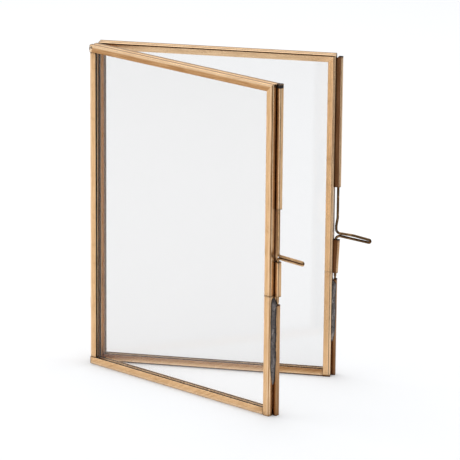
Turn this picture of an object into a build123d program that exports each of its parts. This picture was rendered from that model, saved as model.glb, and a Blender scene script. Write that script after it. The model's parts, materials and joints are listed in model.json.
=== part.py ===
from build123d import *
from dataclasses import dataclass
from math import cos, radians, sin
import os

# A double photo frame of glass panes in folded brass channel. Two leaves stand as a V, joined at the
# spine. Each leaf is a front and a rear panel with a slot for the photograph between them, hinged on
# the spine side and held shut at the free edge by a sliding wire bolt.
#
# Units are millimetres. In a leaf's own frame X runs from the spine to the free edge, Y from the front
# face to the rear face, and Z up from the surface that the frame stands on. The finished frame has its
# origin on that surface, below the middle of its box.

# Panels and leaves
PANEL_WIDTH = 132.0  # spine face to free face of a front panel
PANEL_HEIGHT = 184.0
PANEL_GAP = 0.6  # slot between the channels of a leaf's two panels
LEAF_GAP = 0.6  # between the two leaves when the frame is shut
OPEN_ANGLE = 30.0  # degrees between the leaves as the frame stands

# Glass and the brass channel folded round it
PANE_THICKNESS = 1.8
PANE_SIDE_CLEARANCE = 0.025  # glass to each flange
PANE_EDGE_CLEARANCE = 0.3  # glass edge to the web of an upright or top channel
CHANNEL_FACE = 4.1  # width of the channel that shows on a panel's face
CHANNEL_SHEET = 0.5
CHANNEL_RADIUS = 0.8  # outer fold of the channel

# Wire bolt
WIRE_DIAMETER = 1.5
NEAR_BOLT_JOG = 0.6  # the upper leg stands further out than the lower leg
FAR_BOLT_JOG = 1.4
BOLT_JOG_HEIGHT = 4.8
BOLT_JOG_RISE = 3.6  # end of the jog above the handle's upper corner
BOLT_JOG_RADIUS = 5.0
BOLT_SIDE_CLEARANCE = 0.1  # wire to the web of the upper guide
BOLT_DROP = 0.7  # travel down from rest, into the keeper
BOLT_LIFT = 24.0  # travel up from rest, within the window
BOLT_TOP_MARGIN = 4.0  # lifted wire stays this far below the guide's open top
BOLT_TIP_CLEARANCE = 0.15  # wire tip above the keeper's mouth at rest
WIRE_END_CHAMFER = 0.25
HANDLE_PITCH = 1.75  # between the two strands of the hairpin
HANDLE_END_RADIUS = 0.85
HANDLE_UPPER_BEND = 2.8
HANDLE_LOWER_BEND = 2.0
NEAR_HANDLE_SEAT = 0.95  # handle's lower corner over the short guide with the bolt right down
FAR_HANDLE_SEAT = 1.7

# Bolt guides and keeper on the free edge of the rear panel
GUIDE_SHEET = 0.4
GUIDE_GRIP = 2.6  # how far the guides and strips reach in over the rear pane
REAR_SETBACK = 0.15  # rear panel's free edge behind the front panel's free face
STRIP_SHEET = 0.4  # edging of the rear pane between the guides
STRIP_END_GAP = 0.1  # strip to the guide or channel above and below it
NEAR_SHORT_GUIDE_LENGTH = 19.4
FAR_SHORT_GUIDE_LENGTH = 19.0
NEAR_SHORT_GUIDE_LEAN = 0.0  # foot of the short guide stands this far in from its top
FAR_SHORT_GUIDE_LEAN = 0.9
NEAR_GUIDE_TOP_DROP = 0.0  # upper guide's end below the panel's top
FAR_GUIDE_TOP_DROP = 1.7
NEAR_GUIDE_WINDOW = 29.1  # open stretch in which the handle moves
FAR_GUIDE_WINDOW = 30.4
NEAR_KEEPER_GAP = 4.6  # short guide to keeper
FAR_KEEPER_GAP = 3.5
KEEPER_CLEARANCE = 0.3  # wire to the web of the keeper
NEAR_KEEPER_HEIGHT = 62.4
FAR_KEEPER_HEIGHT = 55.9
NEAR_HANDLE_REACH = 18.0
FAR_HANDLE_REACH = 20.0
NEAR_HANDLE_TILT = 1.1  # degrees down from level
FAR_HANDLE_TILT = 9.5
FREE_SEAM_RISE = 5.2  # joint of the front panel's free upright above the keeper's mouth

# Solder seam that carries the keeper on the front panel
NEAR_SOLDER_RISE = 4.2  # top of the seam above the keeper's mouth
FAR_SOLDER_RISE = -0.5
NEAR_SOLDER_LENGTH = 49.0
FAR_SOLDER_LENGTH = 35.5
SOLDER_TAPER = 7.0
SOLDER_END_SHARE = 0.4  # size of the seam's ends against its middle
SOLDER_ON_PANEL = 1.0  # width held on the panel's flat free face
SOLDER_ON_KEEPER = 1.3

# Solder in the open spine end of the front top channel
CORNER_SOLDER_RECESS = 0.3

# Barrel hinges on the spine
PIN_DIAMETER = 0.8
PIN_CLEARANCE = 0.05
PIN_HEAD_DIAMETER = 1.4
PIN_HEAD_HEIGHT = 0.4
PIN_END_PLAY = 0.1
KNUCKLE_WALL = 0.45
KNUCKLE_LENGTH = 6.0
KNUCKLE_GAP = 0.2
KNUCKLES_PER_HINGE = 3
HINGE_STANDOFF = 0.2  # knuckle clear of the panels' spine faces
STRAP_THICKNESS = 0.4
NEAR_COVER_HINGE_INSET = 36.0  # middle of a hinge from the nearer end of the spine
SPINE_HINGE_INSET = 62.0
FAR_COVER_HINGE_INSET = 12.0

# Sizes that follow from those above
PANEL_DEPTH = PANE_THICKNESS + 2 * (PANE_SIDE_CLEARANCE + CHANNEL_SHEET)
LEAF_DEPTH = 2 * PANEL_DEPTH + PANEL_GAP
FRONT_MIDDLE = PANEL_DEPTH / 2
REAR_FACE = PANEL_DEPTH + PANEL_GAP  # front face of the rear panel
REAR_MIDDLE = REAR_FACE + PANEL_DEPTH / 2
PANE_INSET = CHANNEL_SHEET + PANE_EDGE_CLEARANCE
REAR_EDGE = PANEL_WIDTH - REAR_SETBACK
REAR_PANE_EDGE = REAR_EDGE - STRIP_SHEET - PANE_EDGE_CLEARANCE
WIRE_RADIUS = WIRE_DIAMETER / 2
LOWER_LEG_X = PANEL_WIDTH + WIRE_RADIUS
KEEPER_OUTSIDE = LOWER_LEG_X + WIRE_RADIUS + KEEPER_CLEARANCE + GUIDE_SHEET
GUIDE_INSIDE = REAR_EDGE - GUIDE_GRIP
TOP_CHANNEL_FOOT = PANEL_HEIGHT - CHANNEL_FACE
KNUCKLE_BORE = PIN_DIAMETER / 2 + PIN_CLEARANCE
KNUCKLE_RADIUS = KNUCKLE_BORE + KNUCKLE_WALL
HINGE_OFFSET = KNUCKLE_RADIUS + HINGE_STANDOFF
HINGE_LENGTH = KNUCKLES_PER_HINGE * (KNUCKLE_LENGTH + KNUCKLE_GAP) - KNUCKLE_GAP
COVER_AXIS_Y = PANEL_DEPTH + PANEL_GAP / 2
BEFORE_FRONT_Y = -LEAF_GAP / 2  # spine axis as the far leaf sees it
BEHIND_REAR_Y = LEAF_DEPTH + LEAF_GAP / 2  # spine axis as the near leaf sees it

OUTWARDS = (1, 0, 0)
INWARDS = (-1, 0, 0)
UP = (0, 0, 1)
DOWN = (0, 0, -1)
BASE = (Align.CENTER, Align.CENTER, Align.MIN)


@dataclass
class Latch:
    """Heights and handle of one leaf's latch, all measured in the leaf's own frame."""

    keeper_height: float
    handle_reach: float
    handle_tilt: float
    bolt_jog: float
    short_guide_lean: float
    guide_top_drop: float
    short_guide_length: float
    guide_window: float
    keeper_gap: float
    handle_seat: float
    solder_rise: float
    solder_length: float

    @property
    def upper_leg_x(self):
        return LOWER_LEG_X + self.bolt_jog

    @property
    def guide_outside(self):
        return self.upper_leg_x + WIRE_RADIUS + BOLT_SIDE_CLEARANCE + GUIDE_SHEET

    @property
    def free_seam(self):
        return self.keeper_height + FREE_SEAM_RISE

    @property
    def short_guide_bottom(self):
        return self.keeper_height + self.keeper_gap

    @property
    def short_guide_top(self):
        return self.short_guide_bottom + self.short_guide_length

    @property
    def upper_guide_bottom(self):
        return self.short_guide_top + self.guide_window


NEAR_LATCH = Latch(
    keeper_height=NEAR_KEEPER_HEIGHT,
    handle_reach=NEAR_HANDLE_REACH,
    handle_tilt=NEAR_HANDLE_TILT,
    bolt_jog=NEAR_BOLT_JOG,
    short_guide_lean=NEAR_SHORT_GUIDE_LEAN,
    guide_top_drop=NEAR_GUIDE_TOP_DROP,
    short_guide_length=NEAR_SHORT_GUIDE_LENGTH,
    guide_window=NEAR_GUIDE_WINDOW,
    keeper_gap=NEAR_KEEPER_GAP,
    handle_seat=NEAR_HANDLE_SEAT,
    solder_rise=NEAR_SOLDER_RISE,
    solder_length=NEAR_SOLDER_LENGTH,
)
FAR_LATCH = Latch(
    keeper_height=FAR_KEEPER_HEIGHT,
    handle_reach=FAR_HANDLE_REACH,
    handle_tilt=FAR_HANDLE_TILT,
    bolt_jog=FAR_BOLT_JOG,
    short_guide_lean=FAR_SHORT_GUIDE_LEAN,
    guide_top_drop=FAR_GUIDE_TOP_DROP,
    short_guide_length=FAR_SHORT_GUIDE_LENGTH,
    guide_window=FAR_GUIDE_WINDOW,
    keeper_gap=FAR_KEEPER_GAP,
    handle_seat=FAR_HANDLE_SEAT,
    solder_rise=FAR_SOLDER_RISE,
    solder_length=FAR_SOLDER_LENGTH,
)


def channel_section(face, sheet):
    """U-shaped section with its web at x = 0, open towards +x and centred on y."""
    outside = Pos(face / 2, 0) * Rectangle(face, PANEL_DEPTH)
    outside = fillet(outside.vertices().group_by(Axis.X)[0], CHANNEL_RADIUS)
    inside = Pos(sheet + face / 2, 0) * Rectangle(face, PANEL_DEPTH - 2 * sheet)
    return outside - inside


def rail(start, end, inward, section):
    """Straight length of channel, its web's middle line running from start to end."""
    run = Vector(*end) - Vector(*start)
    plane = Plane(origin=start, x_dir=inward, z_dir=run)
    return extrude(plane * section, amount=run.length)


def pane(middle, free_edge):
    """Glass that stands on the bottom channel's web."""
    width = free_edge - PANE_INSET
    height = PANEL_HEIGHT - PANE_INSET - CHANNEL_SHEET
    sheet = Box(width, PANE_THICKNESS, height, align=(Align.MIN, Align.CENTER, Align.MIN))
    return Pos(PANE_INSET, middle, CHANNEL_SHEET) * sheet


def spine_channel(middle, section):
    """Upright of the spine side, between the bottom and the top channel."""
    return rail((0, middle, CHANNEL_FACE), (0, middle, TOP_CHANNEL_FOOT), OUTWARDS, section)


def front_panel(leaf, latch):
    """Pane in channels mitred at the free top corner and butted elsewhere.

    The free upright is in two lengths, with a hairline seam a little above the keeper's mouth.
    """
    section = channel_section(CHANNEL_FACE, CHANNEL_SHEET)
    y = FRONT_MIDDLE
    top_corner = (PANEL_WIDTH, y, PANEL_HEIGHT)
    seam = (PANEL_WIDTH, y, latch.free_seam)
    top = rail((0, y, PANEL_HEIGHT), top_corner, DOWN, section)
    free = rail(seam, top_corner, INWARDS, section)
    return {
        leaf + "_front_pane": pane(y, PANEL_WIDTH - PANE_INSET),
        leaf + "_front_top_channel": split(top, bisect_by=Plane(top_corner, z_dir=(-1, 0, 1))),
        leaf + "_front_free_upper_channel": split(free, bisect_by=Plane(top_corner, z_dir=(1, 0, -1))),
        leaf + "_front_free_lower_channel": rail((PANEL_WIDTH, y, 0), seam, INWARDS, section),
        leaf + "_front_bottom_channel": rail((0, y, 0), (PANEL_WIDTH - CHANNEL_FACE, y, 0), UP, section),
        leaf + "_front_spine_channel": spine_channel(y, section),
        leaf + "_corner_solder": corner_solder(),
    }


def corner_solder():
    """Solder between the glass and the open spine end of the front top channel."""
    length = PANE_INSET - CORNER_SOLDER_RECESS
    depth = PANEL_DEPTH - 2 * CHANNEL_SHEET
    lump = Box(length, depth, CHANNEL_FACE - CHANNEL_SHEET, align=(Align.MAX, Align.CENTER, Align.MIN))
    return Pos(PANE_INSET, FRONT_MIDDLE, TOP_CHANNEL_FOOT) * lump


def rear_panel(leaf, latch):
    """Pane in three plain channels, with the bolt guides along its free edge and thin strips between them.

    The upper guide's flanges are notched below the top channel, so that only its outer part stands beside
    that channel's end.
    """
    section = channel_section(CHANNEL_FACE, CHANNEL_SHEET)
    guide = channel_section(latch.guide_outside - GUIDE_INSIDE, GUIDE_SHEET)
    y = REAR_MIDDLE
    top_end = (REAR_EDGE, y, PANEL_HEIGHT)
    upper_start = (latch.guide_outside, y, latch.upper_guide_bottom)
    upper_end = (latch.guide_outside, y, PANEL_HEIGHT - latch.guide_top_drop)
    short_start = (latch.guide_outside - latch.short_guide_lean, y, latch.short_guide_bottom)
    short_end = (latch.guide_outside, y, latch.short_guide_top)
    lean_rise = latch.short_guide_lean / latch.short_guide_length * (latch.guide_outside - GUIDE_INSIDE)
    lower_end = latch.short_guide_bottom
    window_start = latch.short_guide_top + lean_rise  # a leaning guide ends higher on its inner side
    notch = Box(PANEL_WIDTH, PANEL_DEPTH, CHANNEL_FACE, align=(Align.MAX, Align.CENTER, Align.MIN))
    notch = Pos(REAR_EDGE, y, TOP_CHANNEL_FOOT) * notch
    return {
        leaf + "_rear_pane": pane(y, REAR_PANE_EDGE),
        leaf + "_rear_top_channel": rail((0, y, PANEL_HEIGHT), top_end, DOWN, section),
        leaf + "_rear_bottom_channel": rail((0, y, 0), (REAR_EDGE, y, 0), UP, section),
        leaf + "_rear_spine_channel": spine_channel(y, section),
        leaf + "_upper_bolt_guide": rail(upper_start, upper_end, INWARDS, guide) - notch,
        leaf + "_short_bolt_guide": rail(short_start, short_end, INWARDS, guide),
        leaf + "_rear_lower_strip": edge_strip(CHANNEL_FACE, lower_end),
        leaf + "_rear_window_strip": edge_strip(window_start, latch.upper_guide_bottom),
    }


def edge_strip(bottom, top):
    """Thin channel over the rear pane's free edge, between the guide or channel below and the one above."""
    section = channel_section(GUIDE_GRIP, STRIP_SHEET)
    start = (REAR_EDGE, REAR_MIDDLE, bottom + STRIP_END_GAP)
    end = (REAR_EDGE, REAR_MIDDLE, top - STRIP_END_GAP)
    return rail(start, end, INWARDS, section)


def keeper(latch):
    """Narrow channel beside the rear pane's free edge, which the bolt drops into."""
    section = channel_section(KEEPER_OUTSIDE - PANEL_WIDTH, GUIDE_SHEET)
    foot = (KEEPER_OUTSIDE, REAR_MIDDLE, 0)
    mouth = (KEEPER_OUTSIDE, REAR_MIDDLE, latch.keeper_height)
    return rail(foot, mouth, INWARDS, section)


def keeper_solder(latch):
    """Three-cornered seam in the angle between the front panel's free face and the keeper."""
    on_panel = PANEL_GAP + CHANNEL_RADIUS + SOLDER_ON_PANEL
    top = latch.keeper_height + latch.solder_rise
    bottom = top - latch.solder_length
    rows = [
        (bottom, SOLDER_END_SHARE),
        (bottom + SOLDER_TAPER, 1),
        (top - SOLDER_TAPER, 1),
        (top, SOLDER_END_SHARE),
    ]
    sections = []
    for height, share in rows:
        corner = (PANEL_WIDTH, REAR_FACE, height)
        along_panel = (PANEL_WIDTH, REAR_FACE - on_panel + (1 - share) * SOLDER_ON_PANEL, height)
        along_keeper = (PANEL_WIDTH + share * SOLDER_ON_KEEPER, REAR_FACE, height)
        sections.append(make_face(Polyline(corner, along_panel, along_keeper, close=True)))
    return loft(sections, ruled=True)


def slide_bolt(latch):
    """One wire: a leg in the upper guide, a jog, a hairpin handle and a leg through the short guide."""
    tilt = radians(latch.handle_tilt)
    lower_root = latch.short_guide_top + latch.handle_seat + BOLT_DROP
    upper_root = lower_root + HANDLE_PITCH / cos(tilt)
    jog_end = upper_root + BOLT_JOG_RISE
    end_x = LOWER_LEG_X + latch.handle_reach * cos(tilt)
    end_z = upper_root - latch.handle_reach * sin(tilt)
    corners = [
        (latch.upper_leg_x, PANEL_HEIGHT - BOLT_LIFT - BOLT_TOP_MARGIN),
        (latch.upper_leg_x, jog_end + BOLT_JOG_HEIGHT),
        (LOWER_LEG_X, jog_end),
        (LOWER_LEG_X, upper_root),
        (end_x, end_z),
        (end_x - HANDLE_PITCH * sin(tilt), end_z - HANDLE_PITCH * cos(tilt)),
        (LOWER_LEG_X, lower_root),
        (LOWER_LEG_X, latch.keeper_height + BOLT_TIP_CLEARANCE),
    ]
    bends = [
        BOLT_JOG_RADIUS,
        BOLT_JOG_RADIUS,
        HANDLE_UPPER_BEND,
        HANDLE_END_RADIUS,
        HANDLE_END_RADIUS,
        HANDLE_LOWER_BEND,
    ]
    plane = Plane(origin=(0, REAR_MIDDLE, 0), x_dir=(1, 0, 0), z_dir=(0, -1, 0))
    path = plane * FilletPolyline(*corners, radius=bends)
    wire = sweep(Plane(origin=path @ 0, z_dir=path % 0) * Circle(WIRE_RADIUS), path=path)
    rims = wire.edges().filter_by(GeomType.CIRCLE).sort_by(Axis.Z)
    return chamfer([rims[0], rims[-1]], WIRE_END_CHAMFER)


def hinge_bases(inset):
    """Heights at which the two hinges of one spine line start, near the bottom and near the top."""
    return [inset - HINGE_LENGTH / 2, PANEL_HEIGHT - inset - HINGE_LENGTH / 2]


def knuckles(axis_y, gap, side, places, inset):
    """Knuckles with their straps, on the panel that lies on one side of the hinge axis."""
    reach = gap / 2 + PANEL_DEPTH - CHANNEL_RADIUS
    across = Align.MIN if side > 0 else Align.MAX
    tube = Pos(-HINGE_OFFSET, 0, 0) * Cylinder(KNUCKLE_RADIUS, KNUCKLE_LENGTH, align=BASE)
    bore = Pos(-HINGE_OFFSET, 0, 0) * Cylinder(KNUCKLE_BORE, KNUCKLE_LENGTH, align=BASE)
    strap = Box(STRAP_THICKNESS, reach, KNUCKLE_LENGTH, align=(Align.MAX, across, Align.MIN))
    one = tube + strap - bore
    step = KNUCKLE_LENGTH + KNUCKLE_GAP
    heights = [base + place * step for base in hinge_bases(inset) for place in places]
    return Compound([Pos(0, axis_y, height) * one for height in heights])


def hinge_pins(axis_y, inset):
    """Wire pins with peened heads, one for each hinge of a spine line."""
    shank_length = HINGE_LENGTH + 2 * PIN_END_PLAY
    shank = Cylinder(PIN_DIAMETER / 2, shank_length, align=BASE)
    head = Cylinder(PIN_HEAD_DIAMETER / 2, PIN_HEAD_HEIGHT, align=BASE)
    pin = shank + Pos(0, 0, shank_length) * head + Pos(0, 0, -PIN_HEAD_HEIGHT) * head
    return Compound([Pos(-HINGE_OFFSET, axis_y, base - PIN_END_PLAY) * pin for base in hinge_bases(inset)])


def leaf_nodes(leaf, latch, cover_inset):
    """Every piece of one leaf in the leaf's own frame, by name."""
    outer = range(0, KNUCKLES_PER_HINGE, 2)
    inner = range(1, KNUCKLES_PER_HINGE, 2)
    return {
        **front_panel(leaf, latch),
        **rear_panel(leaf, latch),
        leaf + "_keeper": keeper(latch),
        leaf + "_keeper_solder": keeper_solder(latch),
        leaf + "_slide_bolt": slide_bolt(latch),
        leaf + "_cover_hinge_front_knuckles": knuckles(COVER_AXIS_Y, PANEL_GAP, -1, inner, cover_inset),
        leaf + "_cover_hinge_rear_knuckles": knuckles(COVER_AXIS_Y, PANEL_GAP, 1, outer, cover_inset),
        leaf + "_cover_hinge_pins": hinge_pins(COVER_AXIS_Y, cover_inset),
    }


def spine_nodes_near():
    """The spine hinge's pieces on the near leaf's rear panel."""
    places = range(1, KNUCKLES_PER_HINGE, 2)
    return {"spine_hinge_near_knuckles": knuckles(BEHIND_REAR_Y, LEAF_GAP, -1, places, SPINE_HINGE_INSET)}


def spine_nodes_far():
    """The spine hinge's pieces on the far leaf's front panel."""
    places = range(0, KNUCKLES_PER_HINGE, 2)
    return {
        "spine_hinge_far_knuckles": knuckles(BEFORE_FRONT_Y, LEAF_GAP, 1, places, SPINE_HINGE_INSET),
        "spine_hinge_pins": hinge_pins(BEFORE_FRONT_Y, SPINE_HINGE_INSET),
    }


# The far leaf keeps its own frame. The near leaf starts shut against it and opens about the spine axis.
spine_axis = Pos(-HINGE_OFFSET, BEFORE_FRONT_Y, 0)
near_place = spine_axis * Rot(0, 0, -OPEN_ANGLE) * Pos(HINGE_OFFSET, -BEHIND_REAR_Y, 0)
near_nodes = {**leaf_nodes("near", NEAR_LATCH, NEAR_COVER_HINGE_INSET), **spine_nodes_near()}
far_nodes = {**leaf_nodes("far", FAR_LATCH, FAR_COVER_HINGE_INSET), **spine_nodes_far()}
nodes = {**far_nodes, **{name: near_place * shape for name, shape in near_nodes.items()}}

# The origin goes below the middle of the whole frame's box
box = Compound(list(nodes.values())).bounding_box()
home = Pos(-box.center().X, -box.center().Y, -box.min.Z)

os.makedirs("parts", exist_ok=True)
for name, shape in nodes.items():
    export_step(home * shape, f"parts/{name}.step")
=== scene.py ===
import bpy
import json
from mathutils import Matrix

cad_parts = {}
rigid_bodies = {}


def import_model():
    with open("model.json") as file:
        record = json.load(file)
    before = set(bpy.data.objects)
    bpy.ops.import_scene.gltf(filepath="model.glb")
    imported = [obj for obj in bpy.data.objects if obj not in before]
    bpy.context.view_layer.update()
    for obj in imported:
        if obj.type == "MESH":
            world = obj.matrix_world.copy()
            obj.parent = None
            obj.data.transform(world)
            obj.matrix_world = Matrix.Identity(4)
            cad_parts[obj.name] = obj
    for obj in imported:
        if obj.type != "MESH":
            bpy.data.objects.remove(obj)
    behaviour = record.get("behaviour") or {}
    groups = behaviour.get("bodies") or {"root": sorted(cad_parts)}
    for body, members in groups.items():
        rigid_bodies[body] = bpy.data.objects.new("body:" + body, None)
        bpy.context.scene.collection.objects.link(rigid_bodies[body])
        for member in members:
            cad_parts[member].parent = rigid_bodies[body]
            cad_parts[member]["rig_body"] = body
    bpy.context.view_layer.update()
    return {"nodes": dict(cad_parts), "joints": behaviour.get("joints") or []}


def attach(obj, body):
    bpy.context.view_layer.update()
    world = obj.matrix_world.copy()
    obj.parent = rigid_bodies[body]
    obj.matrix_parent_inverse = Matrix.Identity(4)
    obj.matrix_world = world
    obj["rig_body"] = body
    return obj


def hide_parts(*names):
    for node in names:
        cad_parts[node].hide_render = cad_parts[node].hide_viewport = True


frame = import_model()

import json
from functools import partial
from math import cos, radians, sin

import bpy
import numpy as np
from bpy.props import FloatProperty, FloatVectorProperty, PointerProperty
from mathutils import Matrix, Vector

bl_info = {
    "name": "Double Photo Frame",
    "version": (1, 0, 0),
    "blender": (4, 5, 0),
    "location": "3D View > Sidebar > Double Frame",
    "description": "Dresses the hinged brass and glass double photo frame and sets up its studio",
    "category": "Object",
}

MM = 0.001
LEAVES = ("near", "far")
AXIS_X, AXIS_Y, AXIS_Z = np.eye(3)

# Two faces that meet at more than this angle have a sharp edge
SHARP_EDGE = radians(38)

# Section of a channel: points of a fold and of the web, the width of the wear beside folds and lips, which
# also paints the folds' highlight, and the places of a flange's points as shares of the flange and of that width,
# with the wear at each, from the lip to the fold
FOLD_POINTS = 8
WEB_POINTS = 5
WEAR_WIDTH = 0.35 * MM
TIGHTEST_FOLD = 0.05 * MM
FLANGE_SHARES = np.array((0.7, 0.35))
WEAR_SHARES = np.array((1.3, 1.0, 0.5))
FLANGE_WEAR_AND_SHEEN = (0.25, 0.15, 0.0, 0.0, 0.0, 0.52, 0.6, 0.8)

# Rows of a channel: close ones by each end, and even steps between
END_ROWS = np.array((0.0, 0.1, 0.3, 0.7, 1.4)) * MM
END_REACH = 2.4 * MM
ROW_STEP = 2.0 * MM
# Lengths of the dents along a channel, inwards and across
DENT_ALONG, DENT_INWARDS, DENT_ACROSS = 7 * MM, 3 * MM, 2 * MM
# How far the stain and the dark seam of a joint fade, and the shift of the brush strokes from channel to channel
STAIN_FADE = 2.2 * MM
SEAM_FADE = 0.32 * MM
STROKE_SHIFT = 0.37

# Height and half width of the smudge by the bolts' handles, in mm
SMUDGE_HEIGHT, SMUDGE_WIDTH = 91.5, 2.6
# Clear strip on the guides beside their fold in mm, where the painted shade on their flange stops, and the grime on
# the short guide and the keeper
LATCH_DIRT_AND_SHADE = {"near": (1.15, 0.25), "far": (0.6, 0.75)}
UPPER_GUIDE_GRIME = 0.15

# Keeper solder: rows, points across, shares of its length that taper at the foot and the top, lengths of its lumps and
# streaks, how far it spreads past the CAD solid and how deep it is sunk into the panel
SEAM_ROWS, SEAM_POINTS = 90, 22
SEAM_FOOT, SEAM_TOP = 0.22, 0.06
SEAM_LUMP, SEAM_STREAK = 2.1 * MM, 5.0 * MM
SEAM_SPREAD = {"near": 0.7 * MM, "far": 0.9 * MM}
SEAM_SUNK = 0.06 * MM
# Corner solder: rows and points, the angle left open at its poles, half sizes, and the middle from the top rail's
# spine end, front face and top, in mm
BLOB_ROWS, BLOB_POINTS = 24, 32
BLOB_POLE = 0.12
BLOB_REACH = {"near": (1.50, 1.50, 2.25), "far": (0.70, 1.50, 1.75)}
BLOB_PLACE = {"near": (0.88, 1.00, -2.30), "far": (0.34, 1.25, -1.80)}
# Plug in the near guide: points of a loop, overlap with the guide, heights of the loops, how far each is drawn in, the
# power that squares it, and the depth of its bumps
PLUG_POINTS = 48
PLUG_LAP = 0.04 * MM
PLUG_RISE = np.array((-2.2, -2.15, -1.2, -0.5, -0.2, -0.06, 0.0)) * MM
PLUG_DRAW = np.array((0.90, 1.0, 1.0, 1.0, 0.95, 0.80, 0.40))
PLUG_SQUARE = 0.4
PLUG_BUMPS = 0.06 * MM

# Middle line of each bolt in its leaf's frame, from the top of the wire to its tip: X, Z and bend radius in mm
BOLT_LINES = {
    "near": (
        (133.35, 156.0, 0.0),
        (133.35, 89.90, 1.15),
        (150.70, 89.45, 0.70),
        (150.65, 88.03, 0.70),
        (133.25, 88.42, 1.2),
        (133.25, 62.55, 0.0),
    ),
    "far": (
        (133.95, 156.0, 0.0),
        (133.95, 91.0, 5.0),
        (133.25, 86.6, 5.0),
        (133.25, 82.35, 2.4),
        (142.60, 81.45, 30.0),
        (152.45, 79.30, 0.78),
        (152.20, 77.75, 0.78),
        (133.05, 81.00, 2.2),
        (133.05, 56.05, 0.0),
    ),
}
# The line's corner where the handle starts, and how much wider the wire is at the heights where it stands free in the
# window, in mm
HANDLE_START = {"near": 1, "far": 3}
WIRE_WIDER = {"near": 0.13, "far": 0.0}
WINDOW_HEIGHTS = (91.0, 94.0, 114.0, 117.0)
# Step along the wire in mm, points of a ring and of a bend, the blunt tip's rings and shrinkage, and the length in
# steps and the share of the wire's unevenness
WIRE_STEP = 0.35
RING_POINTS = 24
BEND_POINTS = 24
TIP_RINGS = 5
TIP_SHRINKAGE = 0.34
UNEVEN_STEPS, UNEVEN_SHARE = 14.0, 0.02

# Stretch of the brush strokes, file marks and solder streaks, shades of the solder from plain to pale and dark, and
# the refraction of the glass
STROKE_STRETCH = (70.0, 1500.0, 1.0)
FILE_STRETCH = (1.0, 1.0, 0.12)
STREAK_STRETCH = (1.0, 1.0, 0.22)
SOLDER_SHADES = (1.0, 3.4, 0.10)
GLASS_IOR = 1.3

# Studio, in metres, degrees and watts, with the lens and sensor in mm
WHITE = (1.0, 1.0, 1.0)
AMBIENT, AMBIENT_LEVEL = (0.97, 0.985, 1.0), 0.85
DARK_CARD = (0.13, 0.12, 0.11)
BRIGHT_CARD_LEVEL = 1.35
FLOOR_HALF = 6.0
LAMP_TARGET = (0.0, 0.0, 0.08)
# Place, width and power of each lamp
LAMPS = {
    "overhead_lamp": ((-0.10, 0.35, 1.25), 1.3, 4.5),
    "left_lamp": ((-1.1, 0.05, 0.95), 0.9, 2.0),
}
CAMERA_PLACE = (0.36216, -1.80445, 0.63859)
CAMERA_YAW, CAMERA_PITCH, CAMERA_ROLL = -11.1358, 16.542, 0.5185
CAMERA_LENS, CAMERA_SENSOR, CAMERA_REACH = 277.0, 36.0, 100.0


def length_setting(name, description, millimetres):
    """Length property."""
    return FloatProperty(
        name=name,
        description=description,
        default=millimetres * MM,
        subtype="DISTANCE",
        unit="LENGTH",
        precision=5,
    )


def angle_setting(name, description, degrees):
    """Angle property."""
    return FloatProperty(name=name, description=description, default=radians(degrees), subtype="ANGLE")


def colour_setting(name, description, default):
    """Colour property, linear."""
    return FloatVectorProperty(
        name=name,
        description=description,
        default=default,
        subtype="COLOR",
        min=0.0,
        max=1.0,
    )


class FrameSizes(bpy.types.PropertyGroup):
    """Sizes that the CAD boxes don't give."""

    open_angle: angle_setting("Open Angle", "Angle between the two leaves as the frame stands", 30.0)
    hinge_offset: length_setting("Hinge Offset", "Hinge axes to the panels' spine faces", 1.1)
    cover_axis_depth: length_setting("Cover Axis Depth", "Cover hinge axis behind a leaf's front face", 3.15)
    channel_sheet: length_setting("Channel Sheet", "Thickness of the sheet that the channels are folded from", 0.5)
    guide_sheet: length_setting("Guide Sheet", "Thickness of the sheet of the bolt guides and keepers", 0.4)
    front_fold: length_setting("Front Fold", "Outer radius of a channel's front fold", 0.75)
    rear_fold: length_setting("Rear Fold", "Outer radius of a channel's rear fold", 0.4)
    gap_reach: length_setting("Gap Reach", "Reach of the free uprights into the gap in front of the guides", 0.35)
    lip_bevel: length_setting("Lip Bevel", "Softened edge of the cut sheet", 0.07)
    dent_depth: length_setting("Dent Depth", "Depth of the shallow hand-made dents in the channels", 0.05)
    far_guide_lean: angle_setting("Far Short Guide Lean", "Outward lean of the far leaf's short bolt guide", 2.712)
    strip_reach: length_setting("Strip Reach", "Reach of the window strips past the rear panel's edge", 0.30)
    pane_arris: length_setting("Pane Arris", "Ground edge of the glass", 0.25)
    solder_bulge: length_setting("Solder Bulge", "How far the keeper's solder stands out of its corner", 0.4)


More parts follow.
